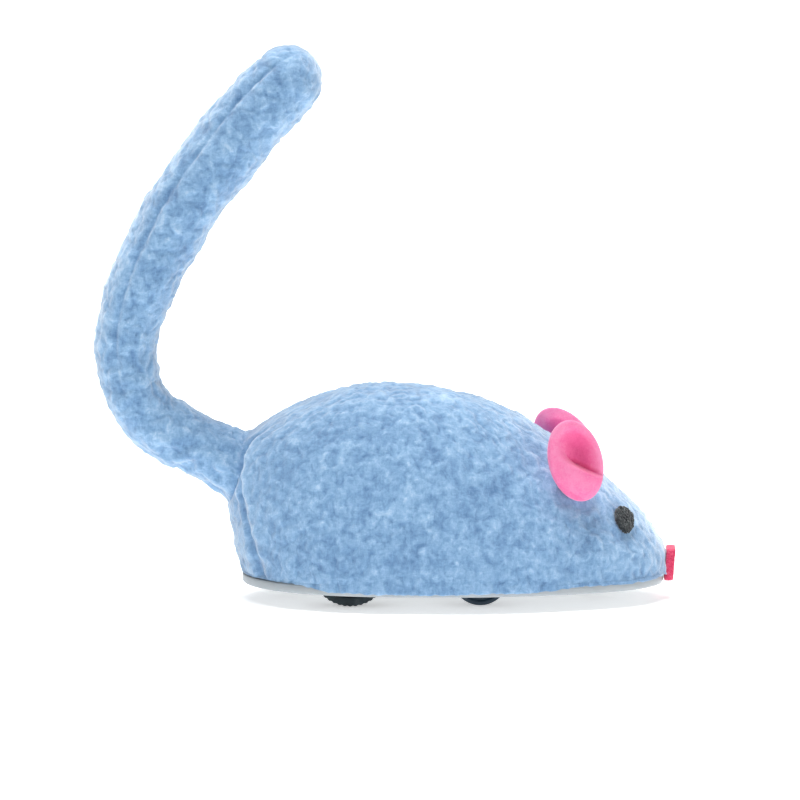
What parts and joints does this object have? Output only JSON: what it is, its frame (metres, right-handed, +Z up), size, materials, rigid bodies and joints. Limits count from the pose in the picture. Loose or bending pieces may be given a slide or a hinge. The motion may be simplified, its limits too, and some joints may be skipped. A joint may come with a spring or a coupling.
{
  "type": "clockwork mouse",
  "caption": "Fleece-covered toy mouse on four wheels, driven by a wind-up spring motor, with felt ears and a tail that stands up in a curve.",
  "frame": {"origin": "on the floor, under the middle of the toy's bounding box; the mouse's own middle plane is 2.75 mm to the right of it, because the knob stands out on the left, and the base plate's middle is 12.8 mm in front of it, because the tail hangs out behind", "axes": "+X forward, from tail to nose; +Y to the mouse's left, the winding knob's side; +Z up"},
  "size_m": [0.1028, 0.0442, 0.099],
  "materials": {
    "base_plastic": "satin",
    "shell_plastic": "satin",
    "fleece": "matte",
    "pink_felt": "matte",
    "black_felt": "matte",
    "red_felt": "matte",
    "stuffing": "matte",
    "steel": "satin",
    "spring_steel": "satin",
    "brass": "satin",
    "tyre_rubber": "matte",
    "wheel_plastic": "satin",
    "knob_plastic": "satin"
  },
  "bodies": {
    "chassis": {"base_plate": "base_plastic", "base_screw_front": "steel", "base_screw_rear": "steel", "inner_shell": "shell_plastic", "fleece_cover": "fleece", "ear_left": "pink_felt", "ear_right": "pink_felt", "eye_left": "black_felt", "eye_right": "black_felt", "nose_felt": "red_felt", "motor_plate_left": "steel", "motor_plate_right": "steel", "motor_pillar_front": "steel", "motor_pillar_top": "steel", "motor_pillar_rear": "steel", "mainspring": "spring_steel"},
    "rear_axle": {"rear_axle": "steel", "axle_pinion": "brass", "rear_hub_left": "wheel_plastic", "rear_hub_right": "wheel_plastic", "rear_tyre_left": "tyre_rubber", "rear_tyre_right": "tyre_rubber"},
    "front_axle": {"front_axle": "steel", "front_wheel_left": "wheel_plastic", "front_wheel_right": "wheel_plastic"},
    "second_arbor": {"second_arbor": "steel", "second_wheel": "brass", "second_pinion": "steel"},
    "great_wheel": {"great_wheel": "brass", "click_spring": "spring_steel"},
    "winding": {"winding_arbor": "steel", "ratchet_wheel": "steel", "winding_knob": "knob_plastic"},
    "tail": {"tail_sleeve": "fleece", "tail_stuffing": "stuffing", "tail_wire": "steel"}
  },
  "joints": [
    {"name": "rear_axle_spin", "type": "hinge", "parent": "chassis", "child": "rear_axle", "pos_m": [-0.0062, -0.00275, 0.007], "axis": [0, 1, 0], "continuous": true},
    {"name": "second_arbor_spin", "type": "hinge", "parent": "chassis", "child": "second_arbor", "pos_m": [0.00127, -0.00275, 0.01327], "axis": [0, 1, 0], "continuous": true},
    {"name": "great_wheel_spin", "type": "hinge", "parent": "chassis", "child": "great_wheel", "pos_m": [0.01238, -0.00275, 0.01624], "axis": [0, 1, 0], "continuous": true, "deforming": ["mainspring"]},
    {"name": "winding", "type": "hinge", "parent": "great_wheel", "child": "winding", "pos_m": [0.01238, -0.00275, 0.01624], "axis": [0, 1, 0], "range_deg": [-2160, 0], "deforming": ["mainspring", "click_spring"]},
    {"name": "front_axle_spin", "type": "hinge", "parent": "chassis", "child": "front_axle", "pos_m": [0.0168, -0.00275, 0.005], "axis": [0, 1, 0], "continuous": true},
    {"name": "tail_swing", "type": "hinge", "parent": "chassis", "child": "tail", "pos_m": [-0.0287, -0.00275, 0.025], "axis": [0, 0, 1], "range_deg": [-20, 20]}
  ],
  "couplings": [
    {"joint": "second_arbor_spin", "follows": "rear_axle_spin", "ratio": -0.3},
    {"joint": "great_wheel_spin", "follows": "rear_axle_spin", "ratio": 0.083333}
  ]
}
